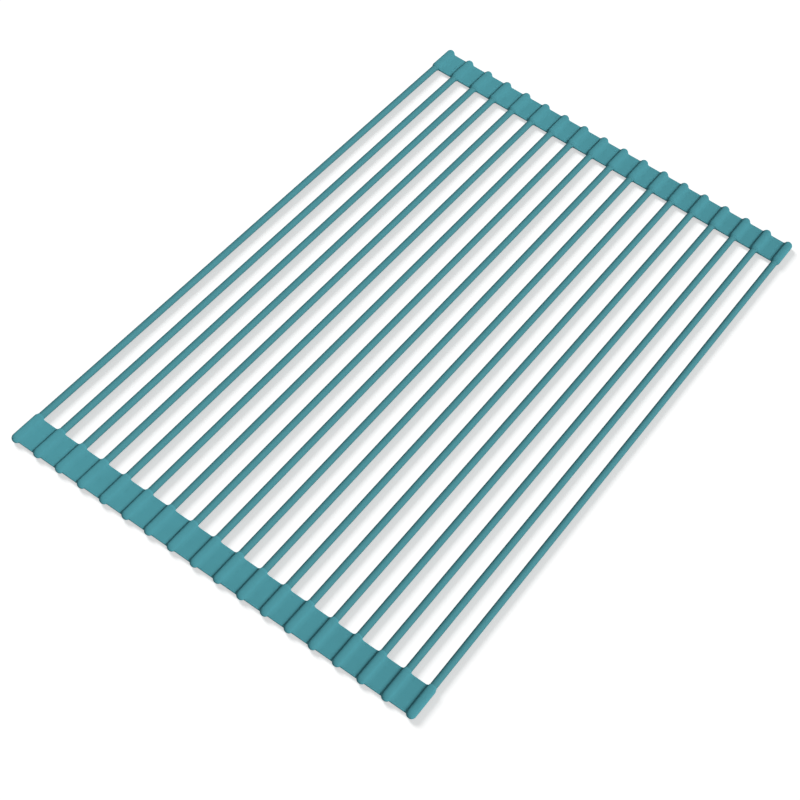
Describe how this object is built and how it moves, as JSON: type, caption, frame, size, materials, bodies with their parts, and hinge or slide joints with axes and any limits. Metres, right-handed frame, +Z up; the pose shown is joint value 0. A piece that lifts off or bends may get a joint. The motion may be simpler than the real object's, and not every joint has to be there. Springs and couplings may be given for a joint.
{
  "type": "collapsible dish rack",
  "caption": "Roll-up draining rack: parallel coated rods held at both ends by flexible moulded silicone strips that fold between the rods.",
  "frame": {"origin": "centre of the rack's footprint, on the surface that it lies on", "axes": "X across the rods, Y along the rods, +Z up out of the surface"},
  "size_m": [0.3298, 0.5296, 0.0068],
  "materials": {
    "rod_coat": "matte silicone coat over a steel tube",
    "strip_silicone": "matte moulded silicone"
  },
  "bodies": {
    "link_01": {"rod_01": "rod_coat", "near_strip_link_01": "strip_silicone", "far_strip_link_01": "strip_silicone"},
    "link_02": {"rod_02": "rod_coat", "near_strip_link_02": "strip_silicone", "far_strip_link_02": "strip_silicone"},
    "link_03": {"rod_03": "rod_coat", "near_strip_link_03": "strip_silicone", "far_strip_link_03": "strip_silicone"},
    "link_04": {"rod_04": "rod_coat", "near_strip_link_04": "strip_silicone", "far_strip_link_04": "strip_silicone"},
    "link_05": {"rod_05": "rod_coat", "near_strip_link_05": "strip_silicone", "far_strip_link_05": "strip_silicone"},
    "link_06": {"rod_06": "rod_coat", "near_strip_link_06": "strip_silicone", "far_strip_link_06": "strip_silicone"},
    "link_07": {"rod_07": "rod_coat", "near_strip_link_07": "strip_silicone", "far_strip_link_07": "strip_silicone"},
    "link_08": {"rod_08": "rod_coat", "near_strip_link_08": "strip_silicone", "far_strip_link_08": "strip_silicone"},
    "link_09": {"rod_09": "rod_coat", "near_strip_link_09": "strip_silicone", "far_strip_link_09": "strip_silicone"},
    "link_10": {"rod_10": "rod_coat", "near_strip_link_10": "strip_silicone", "far_strip_link_10": "strip_silicone"},
    "link_11": {"rod_11": "rod_coat", "near_strip_link_11": "strip_silicone", "far_strip_link_11": "strip_silicone"},
    "link_12": {"rod_12": "rod_coat", "near_strip_link_12": "strip_silicone", "far_strip_link_12": "strip_silicone"},
    "link_13": {"rod_13": "rod_coat", "near_strip_link_13": "strip_silicone", "far_strip_link_13": "strip_silicone"},
    "link_14": {"rod_14": "rod_coat", "near_strip_link_14": "strip_silicone", "far_strip_link_14": "strip_silicone"},
    "link_15": {"rod_15": "rod_coat", "near_strip_link_15": "strip_silicone", "far_strip_link_15": "strip_silicone"},
    "link_16": {"rod_16": "rod_coat", "near_strip_link_16": "strip_silicone", "far_strip_link_16": "strip_silicone"},
    "link_17": {"rod_17": "rod_coat", "near_strip_link_17": "strip_silicone", "far_strip_link_17": "strip_silicone"},
    "link_18": {"rod_18": "rod_coat", "near_strip_link_18": "strip_silicone", "far_strip_link_18": "strip_silicone"}
  },
  "joints": [
    {"name": "fold_01", "type": "hinge", "parent": "link_01", "child": "link_02", "pos_m": [-0.152, 0, 0.00338], "axis": [0, -1, 0], "range_deg": [0, 32]},
    {"name": "fold_02", "type": "hinge", "parent": "link_02", "child": "link_03", "pos_m": [-0.133, 0, 0.00338], "axis": [0, -1, 0], "range_deg": [0, 33]},
    {"name": "fold_03", "type": "hinge", "parent": "link_03", "child": "link_04", "pos_m": [-0.114, 0, 0.00338], "axis": [0, -1, 0], "range_deg": [0, 33.9]},
    {"name": "fold_04", "type": "hinge", "parent": "link_04", "child": "link_05", "pos_m": [-0.095, 0, 0.00338], "axis": [0, -1, 0], "range_deg": [0, 34.9]},
    {"name": "fold_05", "type": "hinge", "parent": "link_05", "child": "link_06", "pos_m": [-0.076, 0, 0.00338], "axis": [0, -1, 0], "range_deg": [0, 36.1]},
    {"name": "fold_06", "type": "hinge", "parent": "link_06", "child": "link_07", "pos_m": [-0.057, 0, 0.00338], "axis": [0, -1, 0], "range_deg": [0, 37.3]},
    {"name": "fold_07", "type": "hinge", "parent": "link_07", "child": "link_08", "pos_m": [-0.038, 0, 0.00338], "axis": [0, -1, 0], "range_deg": [0, 38.7]},
    {"name": "fold_08", "type": "hinge", "parent": "link_08", "child": "link_09", "pos_m": [-0.019, 0, 0.00338], "axis": [0, -1, 0], "range_deg": [0, 40.2]},
    {"name": "fold_09", "type": "hinge", "parent": "link_09", "child": "link_10", "pos_m": [0, 0, 0.00338], "axis": [0, -1, 0], "range_deg": [0, 42]},
    {"name": "fold_10", "type": "hinge", "parent": "link_10", "child": "link_11", "pos_m": [0.019, 0, 0.00338], "axis": [0, -1, 0], "range_deg": [0, 44]},
    {"name": "fold_11", "type": "hinge", "parent": "link_11", "child": "link_12", "pos_m": [0.038, 0, 0.00338], "axis": [0, -1, 0], "range_deg": [0, 46.3]},
    {"name": "fold_12", "type": "hinge", "parent": "link_12", "child": "link_13", "pos_m": [0.057, 0, 0.00338], "axis": [0, -1, 0], "range_deg": [0, 49]},
    {"name": "fold_13", "type": "hinge", "parent": "link_13", "child": "link_14", "pos_m": [0.076, 0, 0.00338], "axis": [0, -1, 0], "range_deg": [0, 52.3]},
    {"name": "fold_14", "type": "hinge", "parent": "link_14", "child": "link_15", "pos_m": [0.095, 0, 0.00338], "axis": [0, -1, 0], "range_deg": [0, 56.3]},
    {"name": "fold_15", "type": "hinge", "parent": "link_15", "child": "link_16", "pos_m": [0.114, 0, 0.00338], "axis": [0, -1, 0], "range_deg": [0, 61.5]},
    {"name": "fold_16", "type": "hinge", "parent": "link_16", "child": "link_17", "pos_m": [0.133, 0, 0.00338], "axis": [0, -1, 0], "range_deg": [0, 68.5]},
    {"name": "fold_17", "type": "hinge", "parent": "link_17", "child": "link_18", "pos_m": [0.152, 0, 0.00338], "axis": [0, -1, 0], "range_deg": [0, 78.5]}
  ],
  "couplings": [
    {"joint": "fold_02", "follows": "fold_01", "ratio": 1.027},
    {"joint": "fold_03", "follows": "fold_01", "ratio": 1.056},
    {"joint": "fold_04", "follows": "fold_01", "ratio": 1.088},
    {"joint": "fold_05", "follows": "fold_01", "ratio": 1.124},
    {"joint": "fold_06", "follows": "fold_01", "ratio": 1.162},
    {"joint": "fold_07", "follows": "fold_01", "ratio": 1.206},
    {"joint": "fold_08", "follows": "fold_01", "ratio": 1.254},
    {"joint": "fold_09", "follows": "fold_01", "ratio": 1.308},
    {"joint": "fold_10", "follows": "fold_01", "ratio": 1.371},
    {"joint": "fold_11", "follows": "fold_01", "ratio": 1.443},
    {"joint": "fold_12", "follows": "fold_01", "ratio": 1.529},
    {"joint": "fold_13", "follows": "fold_01", "ratio": 1.631},
    {"joint": "fold_14", "follows": "fold_01", "ratio": 1.757},
    {"joint": "fold_15", "follows": "fold_01", "ratio": 1.919},
    {"joint": "fold_16", "follows": "fold_01", "ratio": 2.136},
    {"joint": "fold_17", "follows": "fold_01", "ratio": 2.45}
  ]
}
